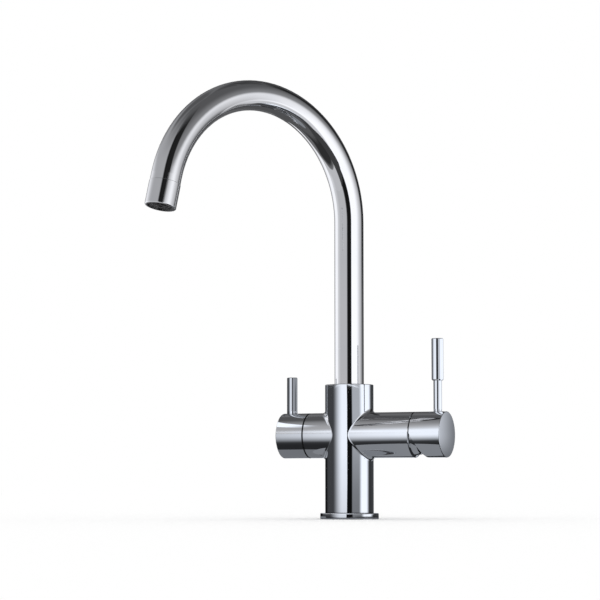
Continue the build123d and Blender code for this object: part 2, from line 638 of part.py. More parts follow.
def make_filter_nozzle():
    """The inner nozzle that brings the filtered water through the aerator's centre."""
    barb_top = NOZZLE_TOP - NIPPLE_LENGTH
    end = OUTLET_LENGTH - NOZZLE_RECESS
    nozzle = rod(NOZZLE_R, NOZZLE_TOP + SEAT_FIT, end)
    nozzle += rod(FILTER_TUBE_BORE_R - SEAT_FIT, barb_top, NOZZLE_TOP + SEAT_FIT)
    return OUTLET_FRAME * (nozzle - rod(NOZZLE_BORE / 2, barb_top, end))


# Mixer cartridge

def make_cartridge_base():
    """The plastic floor of the cartridge, with three ports and their seal seats."""
    base = rod(HOUSING_R, CARTRIDGE_FOOT, FIXED_DISC_FOOT)
    seat_top = MIXER_FLOOR + PORT_SEAL_HEIGHT
    for port in port_centres():
        base -= port * rod(MIXER_PORT_R, CARTRIDGE_FOOT, FIXED_DISC_FOOT)
        base -= port * rod(PORT_SEAL_R + SEAT_FIT, CARTRIDGE_FOOT, seat_top)
    return MIXER_FRAME * base


def make_cartridge_port_seals():
    """Three rubber rings between the cartridge and the chamber's floor."""
    seal = pipe(PORT_SEAL_R, MIXER_PORT_R, MIXER_FLOOR, MIXER_FLOOR + PORT_SEAL_HEIGHT)
    return Compound([MIXER_FRAME * port * seal for port in port_centres()])


def make_cartridge_fixed_disc():
    """The fixed ceramic disc with its three ports."""
    disc = rod(HOUSING_BORE_R - SEAT_FIT, FIXED_DISC_FOOT, FIXED_DISC_TOP)
    for port in port_centres():
        disc -= port * rod(MIXER_PORT_R, FIXED_DISC_FOOT, FIXED_DISC_TOP)
    return MIXER_FRAME * disc


def make_cartridge_moving_disc():
    """The sliding ceramic disc with its mixing pocket, in the closed place."""
    disc = rod(MOVING_DISC_R, MOVING_DISC_FACE, CARRIER_FOOT)
    disc -= rod(MIXER_PORT_CIRCLE - MIXER_PORT_R / 2, MOVING_DISC_FACE, MOVING_DISC_FACE + MIXING_POCKET_DEPTH)
    return MIXER_FRAME * Pos(-DISC_OFFSET, 0, 0) * disc


def make_cartridge_disc_carrier():
    """The plastic carrier on the sliding disc, with the socket for the spindle's ball."""
    carrier = rod(MOVING_DISC_R, CARRIER_FOOT, CARRIER_TOP)
    carrier -= rod(SPINDLE_BALL_DIA / 2 + END_PLAY, CARRIER_FOOT, CARRIER_TOP)
    return MIXER_FRAME * Pos(-DISC_OFFSET, 0, 0) * carrier


def make_cartridge_housing():
    """The plastic cup round the discs, with the neck that the rotor turns in."""
    housing = rod(HOUSING_R, FIXED_DISC_FOOT, SHOULDER)
    housing += rod(NECK_R, SHOULDER, COVER_FACE)
    housing -= rod(HOUSING_BORE_R, FIXED_DISC_FOOT, HOUSING_CEILING)
    return MIXER_FRAME * (housing - rod(ROTOR_R + RUNNING_FIT, HOUSING_CEILING, COVER_FACE))


def make_cartridge_rotor():
    """The plastic rotor that carries the spindle's pin and turns with the lever."""
    rotor = rod(ROTOR_FLANGE_R, ROTOR_FOOT, ROTOR_FLANGE_TOP)
    rotor += rod(ROTOR_R, ROTOR_FLANGE_TOP, ROTOR_TOP)
    lean = radians(HALF_TILT)
    above = (ROTOR_TOP - PIVOT) * tan(lean) + SPINDLE_HALF / cos(lean)
    below = (PIVOT - ROTOR_FOOT) * tan(lean) + SPINDLE_TAIL_DIA / 2 / cos(lean)
    shoulder = SPINDLE_SHOULDER * sin(lean) + SPINDLE_HALF * cos(lean)
    slot_length = 2 * (max(above, below, shoulder) + RUNNING_FIT)
    slot_width = MIXER_SQUARE + 2 * RUNNING_FIT
    middle = (ROTOR_FOOT + ROTOR_TOP) / 2
    rotor -= Pos(0, 0, middle) * Box(slot_length, slot_width, ROTOR_TOP - ROTOR_FOOT)
    pin_hole = Rot(90, 0, 0) * Cylinder(PIVOT_PIN_R + SEAT_FIT / 2, 2 * ROTOR_R)
    return MIXER_FRAME * (rotor - Pos(0, 0, PIVOT) * pin_hole)


def make_cartridge_pivot_pin():
    """The steel pin that the spindle tilts on."""
    half = sqrt(ROTOR_R**2 - PIVOT_PIN_R**2) - RUNNING_FIT
    return MIXER_FRAME * Pos(0, 0, PIVOT) * Rot(90, 0, 0) * Cylinder(PIVOT_PIN_R, 2 * half)


def make_cartridge_nut():
    """The brass nut that clamps the cartridge, with a hexagon outside the arm."""
    hex_top = MIXER_ARM_LENGTH + NUT_HEX_HEIGHT
    nut = rod(NUT_R - SEAT_FIT, SHOULDER, MIXER_ARM_LENGTH)
    nut += hexagon(NUT_HEX_R, MIXER_ARM_LENGTH, hex_top)
    return MIXER_FRAME * (nut - rod(NECK_R + SEAT_FIT, SHOULDER, hex_top))


def cover_ball(radius, top):
    """A slice of a ball round the lever's pivot, from the arm's end to a height."""
    return Pos(0, 0, PIVOT) * Sphere(radius) & rod(radius, MIXER_ARM_LENGTH, top)


def make_cartridge_cover():
    """The chrome dome over the nut, seen in the handle's notch, which the handle tilts round."""
    rim_top = MIXER_ARM_LENGTH + COVER_RIM
    rim_top_r = sqrt(COVER_R**2 - (rim_top - PIVOT) ** 2)
    rim = Cone(ARM_R - COVER_STEP, rim_top_r, COVER_RIM)
    cover = cover_ball(COVER_R, COVER_FACE) + Pos(0, 0, (MIXER_ARM_LENGTH + rim_top) / 2) * rim
    cover -= cover_ball(COVER_HOLLOW_R, COVER_FACE - COVER_WALL)
    return MIXER_FRAME * (cover - rod(NECK_R + SEAT_FIT, MIXER_ARM_LENGTH, COVER_FACE))


# Mixer handle

def make_mixer_spindle():
    """The square spindle with its ball end, leaning to the closed side on its pin."""
    spindle = square(MIXER_SQUARE, -SPINDLE_SHOULDER, SPINDLE_REACH)
    spindle += rod(SPINDLE_TAIL_DIA / 2, -BALL_ARM, -SPINDLE_SHOULDER)
    spindle += Pos(0, 0, -BALL_ARM) * Sphere(SPINDLE_BALL_DIA / 2)
    spindle -= Rot(90, 0, 0) * Cylinder(PIVOT_PIN_R + RUNNING_FIT, MIXER_SQUARE)
    return TILTED_FRAME * spindle


def relief_wedge():
    """What the slanted notch takes off the handle's lower edge, so that it can tilt outwards."""
    slope = tan(radians(TILT_RANGE + RELIEF_MARGIN))
    depth = 2 * ARM_R
    start = MIXER_HANDLE_START
    corners = [
        (RELIEF_START, start),
        (RELIEF_START - depth, start + depth * slope),
        (RELIEF_START - depth, start - HANDLE_GAP),
        (RELIEF_START, start - HANDLE_GAP),
    ]
    return extrude(make_face(Plane.XZ * Polyline(*corners, close=True)), ARM_DIA, both=True)


def lever_hole(place, radius, foot, stud_foot):
    """The stepped hole for a lever and its screw, upwards from the spindle."""
    hole = rod(radius + SEAT_FIT, foot, ARM_R) + rod(LEVER_STUD_R + SEAT_FIT, stud_foot, foot)
    return Pos(0, 0, place) * UPRIGHT * hole


def make_mixer_handle():
    """The mixer's round cap, hollow round the cover and notched below."""
    handle = rod(ARM_R, MIXER_HANDLE_START, MIXER_HANDLE_END)
    handle = fillet(end_edge(handle, Axis.Z, True), HANDLE_EDGE)
    handle -= rod(MIXER_CAVITY_R, MIXER_HANDLE_START, MIXER_CAVITY_END)
    handle -= relief_wedge()
    handle -= lever_hole(MIXER_LEVER, MIXER_STEM_R, MIXER_LEVER_FOOT, 0)
    handle = MIXER_FRAME * handle
    return handle - TILTED_FRAME * square(MIXER_SQUARE + 2 * SEAT_FIT, 0, SPINDLE_REACH + END_PLAY)


def make_mixer_lever():
    """The mixer's stepped lever: a slim stem with a thicker grip."""
    stem = rod(MIXER_STEM_R, MIXER_LEVER_FOOT, MIXER_GRIP_FOOT)
    stem += rod(LEVER_STUD_R, MIXER_STUD_FOOT, MIXER_LEVER_FOOT)
    grip = rod(MIXER_GRIP_DIA / 2, MIXER_GRIP_FOOT, MIXER_LEVER_TOP)
    grip = chamfer(end_edge(grip, Axis.Z, False), GRIP_CHAMFER)
    grip = chamfer(end_edge(grip, Axis.Z, True), LEVER_EDGE)
    return MIXER_FRAME * Pos(0, 0, MIXER_LEVER) * UPRIGHT * (stem + grip)


def make_mixer_handle_screw():
    """The grub screw under the lever that holds the handle on its spindle."""
    screw = grub_screw(LEVER_STUD_R, MIXER_SCREW_FOOT, MIXER_STUD_FOOT - END_PLAY)
    return MIXER_FRAME * Pos(0, 0, MIXER_LEVER) * UPRIGHT * screw


# Filtered-water valve

def valve_ports(foot, top):
    """The two sector-shaped openings of a valve disc."""
    inner = VALVE_DISC_HUB
    outer = VALVE_DISC_R - VALVE_DISC_RIM
    opening = sector(inner, outer, foot, top, VALVE_PORT_ANGLE)
    return [opening, Rot(0, 0, 180) * opening]


def make_valve_seat_seal():
    """The rubber washer between the valve and the chamber's floor."""
    bore = FILTER_INLET_DIA / 2
    return FILTER_FRAME * pipe(bore + SEAT_SEAL_WALL, bore, VALVE_FLOOR, SEAT_TOP)


def make_valve_fixed_disc():
    """The fixed ceramic disc of the filtered-water valve."""
    return FILTER_FRAME * (rod(VALVE_DISC_R, SEAT_TOP, VALVE_FILM) - valve_ports(SEAT_TOP, VALVE_FILM))


def driver_tongue(width):
    """The tongue that turns the disc, lying across its back."""
    foot = TURNING_DISC_TOP - DRIVER_TONGUE
    bar = Pos(0, 0, (foot + TURNING_DISC_TOP) / 2) * Box(width, 2 * VALVE_DISC_R, DRIVER_TONGUE)
    return bar & rod(VALVE_DISC_R - VALVE_DISC_RIM, foot, TURNING_DISC_TOP)


def make_valve_rotating_disc():
    """The turning ceramic disc, shut at rest, with a slot across its back."""
    disc = rod(VALVE_DISC_R, TURNING_DISC_FOOT, TURNING_DISC_TOP)
    for opening in valve_ports(TURNING_DISC_FOOT, TURNING_DISC_TOP):
        disc -= Rot(0, 0, 90) * opening
    slot = Pos(0, 0, TURNING_DISC_TOP) * Box(
        DRIVER_TONGUE_WIDTH + 2 * SEAT_FIT, 2 * VALVE_DISC_R, 2 * DRIVER_TONGUE
    )
    return FILTER_FRAME * (disc - slot)


def make_valve_spindle():
    """The brass spindle: a driving head with its tongue, a sealed shaft and a square end."""
    spindle = rod(VALVE_DISC_R, TURNING_DISC_TOP, DRIVER_TOP)
    spindle += driver_tongue(DRIVER_TONGUE_WIDTH)
    spindle += rod(VALVE_SHAFT_R, DRIVER_TOP, FILTER_SQUARE_FOOT)
    spindle += square(FILTER_SQUARE, FILTER_SQUARE_FOOT, FILTER_SPINDLE_END)
    groove = VALVE_SHAFT_R - STANDPIPE_GROOVE_DEPTH
    low = VALVE_GROOVE - STANDPIPE_GROOVE / 2
    spindle -= pipe(VALVE_SHAFT_R, groove, low, low + STANDPIPE_GROOVE)
    clip_top = CIRCLIP_FOOT + CIRCLIP
    return FILTER_FRAME * (spindle - pipe(VALVE_SHAFT_R, VALVE_SHAFT_R - CIRCLIP_DEPTH, CIRCLIP_FOOT, clip_top))


def make_valve_spindle_o_ring():
    """The seal between the valve's spindle and its bonnet."""
    inner = VALVE_SHAFT_R - STANDPIPE_GROOVE_DEPTH + SEAT_FIT
    return FILTER_FRAME * o_ring(inner, VALVE_SHAFT_R + RUNNING_FIT - SEAT_FIT, VALVE_GROOVE)


def make_valve_circlip():
    """The spring clip that keeps the spindle in the bonnet."""
    inner = VALVE_SHAFT_R - CIRCLIP_DEPTH + SEAT_FIT
    clip_top = CIRCLIP_FOOT + CIRCLIP
    clip = pipe(inner + CIRCLIP_WIDTH, inner, CIRCLIP_FOOT, clip_top)
    reach = inner + CIRCLIP_WIDTH
    gap = Pos(-reach / 2, 0, (CIRCLIP_FOOT + clip_top) / 2) * Box(reach, CIRCLIP_GAP, CIRCLIP)
    return FILTER_FRAME * (clip - gap)


def make_valve_bonnet():
    """The brass valve body: a windowed sleeve round the discs, a thread and a hexagon."""
    bonnet = rod(VALVE_SLEEVE_R, SEAT_TOP, BONNET_CEILING)
    bonnet += rod(BONNET_R - SEAT_FIT, BONNET_CEILING, FILTER_ARM_LENGTH)
    bonnet += hexagon(BONNET_HEX_R, FILTER_ARM_LENGTH, BONNET_TOP)
    bonnet -= rod(VALVE_BORE_R, SEAT_TOP, BONNET_CEILING)
    bonnet -= rod(VALVE_SHAFT_R + RUNNING_FIT, BONNET_CEILING, BONNET_TOP)
    window_foot = TURNING_DISC_FOOT + VALVE_DISC / 2
    window = sector(VALVE_BORE_R / 2, VALVE_CHAMBER_R, window_foot, BONNET_CEILING, VALVE_PORT_ANGLE)
    return FILTER_FRAME * (bonnet - [window, Rot(0, 0, 180) * window])


# Filtered-water handle

def make_handle_glide_washer():
    """The dark plastic washer in the gap between the left arm and its handle."""
    inner = BONNET_HEX_R + SEAT_FIT
    return FILTER_FRAME * pipe(
        ARM_R - GLIDE_WASHER_STEP, inner, FILTER_ARM_LENGTH, FILTER_ARM_LENGTH + GLIDE_WASHER
    )


def make_filter_handle():
    """The filtered-water handle's round cap, with a boss for the spindle's square."""
    handle = rod(ARM_R, FILTER_HANDLE_START, FILTER_HANDLE_END)
    handle = fillet(end_edge(handle, Axis.Z, True), HANDLE_EDGE)
    handle -= rod(FILTER_CAVITY_R, FILTER_HANDLE_START, FILTER_CAVITY_END)
    boss_r = FILTER_SQUARE / sqrt(2) + FILTER_BOSS_WALL
    handle += rod(boss_r, FILTER_SQUARE_FOOT + END_PLAY, FILTER_CAVITY_END)
    handle -= square(
        FILTER_SQUARE + 2 * SEAT_FIT, FILTER_SQUARE_FOOT + END_PLAY, FILTER_SPINDLE_END + END_PLAY
    )
    return FILTER_FRAME * (handle - lever_hole(FILTER_LEVER, FILTER_LEVER_R, FILTER_LEVER_FOOT, 0))


def make_filter_lever():
    """The filtered-water handle's plain pin."""
    pin = rod(FILTER_LEVER_R, FILTER_LEVER_FOOT, FILTER_LEVER_TOP)
    pin = chamfer(end_edge(pin, Axis.Z, True), LEVER_EDGE)
    pin += rod(LEVER_STUD_R, FILTER_STUD_FOOT, FILTER_LEVER_FOOT)
    return FILTER_FRAME * Pos(0, 0, FILTER_LEVER) * UPRIGHT * pin


def make_filter_handle_screw():
    """The grub screw under the pin that holds the handle on its spindle."""
    screw = grub_screw(LEVER_STUD_R, FILTER_SCREW_FOOT, FILTER_STUD_FOOT - END_PLAY)
    return FILTER_FRAME * Pos(0, 0, FILTER_LEVER) * UPRIGHT * screw


PIECES = {
    "body": make_body,
    "base_flange": make_base_flange,
    "base_gasket": make_base_gasket,
    "base_screws": make_base_screws,
    "spout_guide_ring": make_spout_guide_ring,
    "spout_screw": make_spout_screw,
    "filter_standpipe": make_filter_standpipe,
    "standpipe_o_ring": make_standpipe_o_ring,
    "spout_tube": make_spout_tube,
    "spout_ferrule": make_spout_ferrule,
    "spout_o_rings": make_spout_o_rings,
    "flow_divider": make_flow_divider,
    "filter_tube": make_filter_tube,
    "outlet_collar": make_outlet_collar,
    "aerator_seal": make_aerator_seal,
    "aerator_insert": make_aerator_insert,
    "filter_nozzle": make_filter_nozzle,
    "cartridge_base": make_cartridge_base,
    "cartridge_port_seals": make_cartridge_port_seals,
    "cartridge_fixed_disc": make_cartridge_fixed_disc,
    "cartridge_moving_disc": make_cartridge_moving_disc,
    "cartridge_disc_carrier": make_cartridge_disc_carrier,
    "cartridge_housing": make_cartridge_housing,
    "cartridge_rotor": make_cartridge_rotor,
    "cartridge_pivot_pin": make_cartridge_pivot_pin,
    "cartridge_nut": make_cartridge_nut,
    "cartridge_cover": make_cartridge_cover,
    "mixer_spindle": make_mixer_spindle,
    "mixer_handle": make_mixer_handle,
    "mixer_lever": make_mixer_lever,
    "mixer_handle_screw": make_mixer_handle_screw,
    "valve_seat_seal": make_valve_seat_seal,
    "valve_fixed_disc": make_valve_fixed_disc,
    "valve_rotating_disc": make_valve_rotating_disc,
    "valve_spindle": make_valve_spindle,
    "valve_spindle_o_ring": make_valve_spindle_o_ring,
    "valve_circlip": make_valve_circlip,
    "valve_bonnet": make_valve_bonnet,
    "handle_glide_washer": make_handle_glide_washer,
    "filter_handle": make_filter_handle,
    "filter_lever": make_filter_lever,
    "filter_handle_screw": make_filter_handle_screw,
}

os.makedirs("parts", exist_ok=True)
for name, make in PIECES.items():
    export_step(make(), f"parts/{name}.step")
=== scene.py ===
import json
from math import cos, pi, radians, sin, sqrt

import bpy
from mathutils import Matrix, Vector


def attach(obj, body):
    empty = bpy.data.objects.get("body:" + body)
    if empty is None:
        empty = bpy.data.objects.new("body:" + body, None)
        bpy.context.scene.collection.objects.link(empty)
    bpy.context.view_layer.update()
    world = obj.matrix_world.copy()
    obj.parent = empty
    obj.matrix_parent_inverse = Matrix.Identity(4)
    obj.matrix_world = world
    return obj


# Finishes, fine detail and a studio for the three-way kitchen tap. All lengths are in metres.
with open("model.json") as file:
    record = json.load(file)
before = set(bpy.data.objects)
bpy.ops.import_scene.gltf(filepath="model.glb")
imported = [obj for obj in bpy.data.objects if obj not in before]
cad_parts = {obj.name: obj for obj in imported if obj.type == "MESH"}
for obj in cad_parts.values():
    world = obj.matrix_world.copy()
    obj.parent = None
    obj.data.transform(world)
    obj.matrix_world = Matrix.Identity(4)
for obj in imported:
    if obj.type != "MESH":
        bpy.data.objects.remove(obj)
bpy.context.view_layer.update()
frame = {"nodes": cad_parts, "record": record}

# Camera, from the photograph: its place and lens, and how far the tap is turned in front of it
FOCAL_PIXELS = 2157
PHOTO_PIXELS = 600
SENSOR_MM = 36.0
TAP_TURN = radians(23.37)
CAMERA_RIGHT = -0.0019
CAMERA_DISTANCE = 1.8369
CAMERA_HEIGHT = 0.0272
CAMERA_YAW = radians(-1.25)
CAMERA_PITCH = radians(4.95)

# Finishes: the range in which most noise values lie, and the shares that vary a finish
NOISE_LOW = 0.3
NOISE_HIGH = 0.7
SMOOTHER = 0.8
ROUGHER = 1.25
GRAINS_PER_CLOUD = 8

# Chrome plate: noise in grains per metre, the two colours, the roughness, and the waves of the casting
CHROME_GRAIN = 2600
CHROME_WAVES = 45
CHROME_CLOUDS = 30
CHROME_DEEP = (0.83, 0.84, 0.86)
CHROME_BRIGHT = (0.87, 0.875, 0.885)
CHROME_SMOOTHEST = 0.02
CHROME_ROUGHEST = 0.05
WAVE_DEPTH = 0.00002
WAVE_STRENGTH = 0.35

# Painted shade in the gaps between pieces: how wide the gaps are at most, how dark the painted shade gets,
# and which openness is closed or open
GAP_WIDTH = 0.002
GAP_SHADE_DARKEST = 0.02
GAP_CLOSED = 0.35
GAP_OPEN = 0.8
GAP_SAMPLES = 8

# Fine detail: the casting's column and arms, and the blend between them
COLUMN_RADIUS = 0.0206
ARM_RADIUS = 0.01925
ARM_AXIS = 0.0707
ROOT_FILLET = 0.0035
ROOT_STEPS = 128
ROOT_ARC = 10

# Studio: the floor, and cards that only polished faces see, with their tints and the number of facets
FLOOR_SIZE = 12.0
FLOOR_ROUGHNESS = 0.9
FAR_TINT = (0.995, 1.0, 1.035)
NEAR_TINT = (0.95, 1.0, 1.09)
ALL_ROUND = (-180, 180)
NO_FADES = (0, 0, 0, 0)
CARD_STEPS = 32

# A far dome of cards
DOME_STEPS = 12
DOME_RADIUS = 5.0
DOME_CENTRE = 0.25
DOME_LAYER = 0.08

# A low room of cards near the tap, and the slope of its roof, which starts at the spout's foot
ROOM_RADIUS = 0.40
ROOM_DEPTH = -0.45
ROOM_FOOT = -0.19
ROOM_LAYER = 0.004
LOW_WALL_TOP = 0.078
SPOUT_FOOT_RADIUS = 0.0125
SPOUT_FOOT_HEIGHT = 0.1135
ROOF_SLOPE = 0.047
DECK_RISE = 0.0002

# The light under the roof, in front of the arms
ROOF_LEFT = -0.20
ROOF_RIGHT = 0.12
ROOF_FRONT = -0.056
ROOF_SLANT = 0.3
ROOF_DEPTH = 0.33
ROOF_LIGHT = 1.05
ROOF_FADES = (0.5, 0, 0, 0.258)

# A small card above the filter handle, as radii and heights; it is seen from below
CAP_LIGHT = [(0.138, 0.1524), (0.098, 0.1499)]

# Small rings of cards close round the levers
LEVER_ROOM = 0.0085
LEVER_LAYER = 0.0001
LEVER_REACH = 0.012

# A grey disc just over the floor round the flange, and how far the other cards on the floor reach
STAND_RADIUS = 0.069
STAND_PLACE = (0.010, -0.015)
STAND_HEIGHT = 0.0004
STAND_LIGHT = 0.25
FLOOR_REACH = 0.15

# A narrow card beside the mixer handle's end, which the end's flat face reflects
END_AZIMUTH = 133
END_SPOT = (0.1175, -0.0008)
END_WIDTH = 0.024
END_FOOT = 0.048
END_HEIGHT = 0.050
END_REACH = 0.075
END_LAYER = 0.001
END_DARK = 0.18
END_LIGHT = 0.72
END_FADES = (0, 1, 0.5, 0)


def from_camera(right, away, up):
    """A point or direction given to the right of, away from and above the camera's line to the tap."""
    x = right * cos(TAP_TURN) - away * sin(TAP_TURN)
    y = right * sin(TAP_TURN) + away * cos(TAP_TURN)
    return Vector((x, y, up))


def round_tap(azimuth, distance, height):
    """A point round the column: azimuth 0 is towards the camera, and 90 is on its right."""
    angle = radians(azimuth)
    return from_camera(distance * sin(angle), -distance * cos(angle), height)


# Node helpers

def new_material(name):
    """An empty node material, with its tree and its output."""
    material = bpy.data.materials.new(name)
    material.use_nodes = True
    tree = material.node_tree
    tree.nodes.clear()
    return material, tree, tree.nodes.new("ShaderNodeOutputMaterial")


def add_node(tree, kind, links=(), **values):
    """A node with its own settings, its input values and its incoming links."""
    node = tree.nodes.new(kind)
    for key, value in values.items():
        setattr(node, key, value)
    for socket, source in dict(links).items():
        if isinstance(source, bpy.types.NodeSocket):
            tree.links.new(source, node.inputs[socket])
        else:
            node.inputs[socket].default_value = source
    return node


def noise(tree, scale, detail=2.0):
    """Even noise of a given number of grains per metre, in the piece's own coordinates."""
    place = add_node(tree, "ShaderNodeTexCoord").outputs["Object"]
    links = {"Vector": place, "Scale": scale, "Detail": detail}
    return add_node(tree, "ShaderNodeTexNoise", links).outputs["Fac"]


def between(tree, value, low, high, start=NOISE_LOW, end=NOISE_HIGH):
    """A value that runs from start to end, spread between two numbers."""
    links = {"Value": value, "From Min": start, "From Max": end, "To Min": low, "To Max": high}
    return add_node(tree, "ShaderNodeMapRange", links).outputs["Result"]


def colours(tree, value, first, second):
    """A colour between two, by a noise value."""
    ramp = add_node(tree, "ShaderNodeValToRGB", {"Fac": value})
    ramp.color_ramp.elements[0].color = (*first, 1)
    ramp.color_ramp.elements[0].position = NOISE_LOW
    ramp.color_ramp.elements[1].color = (*second, 1)
    ramp.color_ramp.elements[1].position = NOISE_HIGH
    return ramp.outputs["Color"]


def bump(tree, height, distance, strength=1.0):
    """A bump of a given depth in metres."""
    links = {"Height": height, "Distance": distance, "Strength": strength}
    return add_node(tree, "ShaderNodeBump", links).outputs["Normal"]


def painted_gap_shade(tree):
    """A share of 1 on open faces, which falls in the gaps between pieces: painted shade, from ambient
    occlusion.
    """
    gap = add_node(tree, "ShaderNodeAmbientOcclusion", {"Distance": GAP_WIDTH}, samples=GAP_SAMPLES)
    return between(tree, gap.outputs["AO"], GAP_SHADE_DARKEST, 1.0, GAP_CLOSED, GAP_OPEN)


def finish_shader(tree, output, **inputs):
    """The surface's shader, from named inputs with underscores for spaces."""
    links = {key.replace("_", " "): value for key, value in inputs.items()}
    shader = add_node(tree, "ShaderNodeBsdfPrincipled", links)
    tree.links.new(shader.outputs[0], output.inputs["Surface"])


# Finishes

def chrome_finish():
    """Bright chrome plate: a mirror with a faint bloom in its polish and the slight waves of buffing, its
    colour darkened by painted shade in the gaps between pieces.
    """
    material, tree, output = new_material("chrome_plate")
    grain = noise(tree, CHROME_GRAIN, detail=3)
    waves = noise(tree, CHROME_WAVES, detail=1)
    plate = colours(tree, noise(tree, CHROME_CLOUDS), CHROME_DEEP, CHROME_BRIGHT)
    # The plate's colour is multiplied by painted shade, which darkens it in the gaps between pieces.
    shaded = add_node(tree, "ShaderNodeVectorMath", {0: plate}, operation="SCALE")
    tree.links.new(painted_gap_shade(tree), shaded.inputs["Scale"])
    finish_shader(
        tree,
        output,
        Base_Color=shaded.outputs["Vector"],
        Metallic=1.0,
        Roughness=between(tree, grain, CHROME_SMOOTHEST, CHROME_ROUGHEST),
        Normal=bump(tree, waves, WAVE_DEPTH, WAVE_STRENGTH),
    )
    return material


def plain_finish(name, first, second, roughness, metallic=0.0, grain=1500, depth=0.00002):
    """A fine-grained finish between two close colours."""
    material, tree, output = new_material(name)
    fine = noise(tree, grain, detail=4)
    finish_shader(
        tree,
        output,
        Base_Color=colours(tree, noise(tree, grain / GRAINS_PER_CLOUD), first, second),
        Metallic=metallic,
        Roughness=between(tree, fine, roughness * SMOOTHER, roughness * ROUGHER),
        Normal=bump(tree, fine, depth),
    )
    return material


# One finish for each slot: its name, its two colours and its roughness
FINISHES = {
    "chrome": chrome_finish(),
    "brass": plain_finish(
        "machined_brass", (0.70, 0.50, 0.21), (0.78, 0.60, 0.29), 0.28, metallic=1.0, grain=900
    ),
    "stainless": plain_finish(
        "stainless_steel", (0.52, 0.52, 0.53), (0.62, 0.62, 0.62), 0.3, metallic=1.0, grain=1800
    ),
    "rubber": plain_finish("black_rubber", (0.02, 0.02, 0.02), (0.035, 0.035, 0.036), 0.7),
    "white_acetal": plain_finish("white_acetal", (0.80, 0.80, 0.78), (0.86, 0.86, 0.84), 0.38),
    "grey_plastic": plain_finish("grey_plastic", (0.10, 0.10, 0.105), (0.14, 0.14, 0.145), 0.42),
    "black_plastic": plain_finish("black_plastic", (0.012, 0.012, 0.013), (0.02, 0.02, 0.021), 0.45),
    "white_ceramic": plain_finish("white_ceramic", (0.84, 0.83, 0.79), (0.88, 0.87, 0.84), 0.22),
    "natural_tube": plain_finish("natural_tube", (0.74, 0.75, 0.72), (0.80, 0.81, 0.79), 0.3),
}


def dress_frame():
    """Each piece of the frame takes the finish of its slot."""
    for subpart in frame["record"]["subparts"]:
        mesh = frame["nodes"][subpart["node"]].data
        mesh.materials.clear()
        mesh.materials.append(FINISHES[subpart["material_slot"]])


# Fine detail

def root_fillet(name, side):
    """The cast blend where an arm leaves the column, rolled round both by a ball; side is 1 or -1 along X."""
    ball = ROOT_FILLET
    points, normals, faces = [], [], []
    for i in range(ROOT_STEPS):
        angle = 2 * pi * i / ROOT_STEPS
        out = (ARM_RADIUS + ball) * sin(angle)
        up = (ARM_RADIUS + ball) * cos(angle)
        along = sqrt((COLUMN_RADIUS + ball) ** 2 - out**2)
        centre = Vector((along, out, up))
        to_column = Vector((-along, -out, 0)).normalized()
        to_arm = Vector((0, -out, -up)).normalized()
        for j in range(ROOT_ARC + 1):
            spoke = to_column.slerp(to_arm, j / ROOT_ARC)
            point = centre + ball * spoke
            points.append((side * point.x, point.y, ARM_AXIS + point.z))
            normals.append((-side * spoke.x, -spoke.y, -spoke.z))
    ring = ROOT_ARC + 1
    for i in range(ROOT_STEPS):
        here = i * ring
        there = (i + 1) % ROOT_STEPS * ring
        for j in range(ROOT_ARC):
            quad = (here + j, here + j + 1, there + j + 1, there + j)
            faces.append(quad if side > 0 else quad[::-1])
    mesh = bpy.data.meshes.new(name)
    mesh.from_pydata(points, [], faces)
    mesh.shade_smooth()
    mesh.normals_split_custom_set_from_vertices(normals)
    mesh.materials.append(FINISHES["chrome"])
    piece = bpy.data.objects.new(name, mesh)
    bpy.context.scene.collection.objects.link(piece)
    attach(piece, "tap_body")


def add_detail():
    """Pieces too fine for the frame."""
    root_fillet("mixer_arm_root", 1)
    root_fillet("filter_arm_root", -1)


# Studio

def card_finish(name, colour, fades, inside=False, reach=0):
    """Light or dark of one colour, which thins out towards the card's left, right, first and last edges.

    A card of the room is seen from inside the room alone, and a card with a reach only from within it.
    """
    material, tree, output = new_material(name)
    uv = add_node(tree, "ShaderNodeTexCoord").outputs["UV"]
    split = add_node(tree, "ShaderNodeSeparateXYZ", {"Vector": uv})
    across, along = split.outputs["X"], split.outputs["Y"]
    left, right, first, last = fades
    edges = [(across, 0, left), (across, 1, 1 - right), (along, 0, first), (along, 1, 1 - last)]
    covers = []
    for value, edge, inner in edges:
        if edge != inner:
            links = {"Value": value, "From Min": edge, "From Max": inner}
            soft = add_node(tree, "ShaderNodeMapRange", links, interpolation_type="SMOOTHSTEP")
            covers.append(soft.outputs["Result"])
    if inside:
        covers.append(add_node(tree, "ShaderNodeNewGeometry").outputs["Backfacing"])
    if reach:
        length = add_node(tree, "ShaderNodeLightPath").outputs["Ray Length"]
        close = add_node(tree, "ShaderNodeMath", {0: length, 1: reach}, operation="LESS_THAN")
        covers.append(close.outputs[0])
    cover = 1.0
    for factor in covers:
        cover = add_node(tree, "ShaderNodeMath", {0: cover, 1: factor}, operation="MULTIPLY").outputs[0]
    light = add_node(tree, "ShaderNodeEmission", {"Color": (*colour, 1)})
    clear = add_node(tree, "ShaderNodeBsdfTransparent")
    mix = add_node(tree, "ShaderNodeMixShader", {0: cover, 1: clear.outputs[0], 2: light.outputs[0]})
    tree.links.new(mix.outputs[0], output.inputs["Surface"])
    return material


def stage_mesh(name, points, faces, material, uvs=()):
    """A piece of the studio that only polished faces see."""
    mesh = bpy.data.meshes.new(name)
    mesh.from_pydata(points, [], faces)
    if uvs:
        layer = mesh.uv_layers.new()
        for loop in mesh.loops:
            layer.data[loop.index].uv = uvs[loop.vertex_index]
    mesh.materials.append(material)
    piece = bpy.data.objects.new(name, mesh)
    bpy.context.scene.collection.objects.link(piece)
    piece.visible_camera = False
    piece.visible_diffuse = False
    piece.visible_shadow = False
    return piece


def dome(layer, low, high):
    """Radii and heights of a far card between two elevations; a higher layer lies nearer."""
    radius = DOME_RADIUS - layer * DOME_LAYER
    angles = [radians(low + (high - low) * i / DOME_STEPS) for i in range(DOME_STEPS + 1)]
    return [(radius * cos(angle), DOME_CENTRE + radius * sin(angle)) for angle in angles]


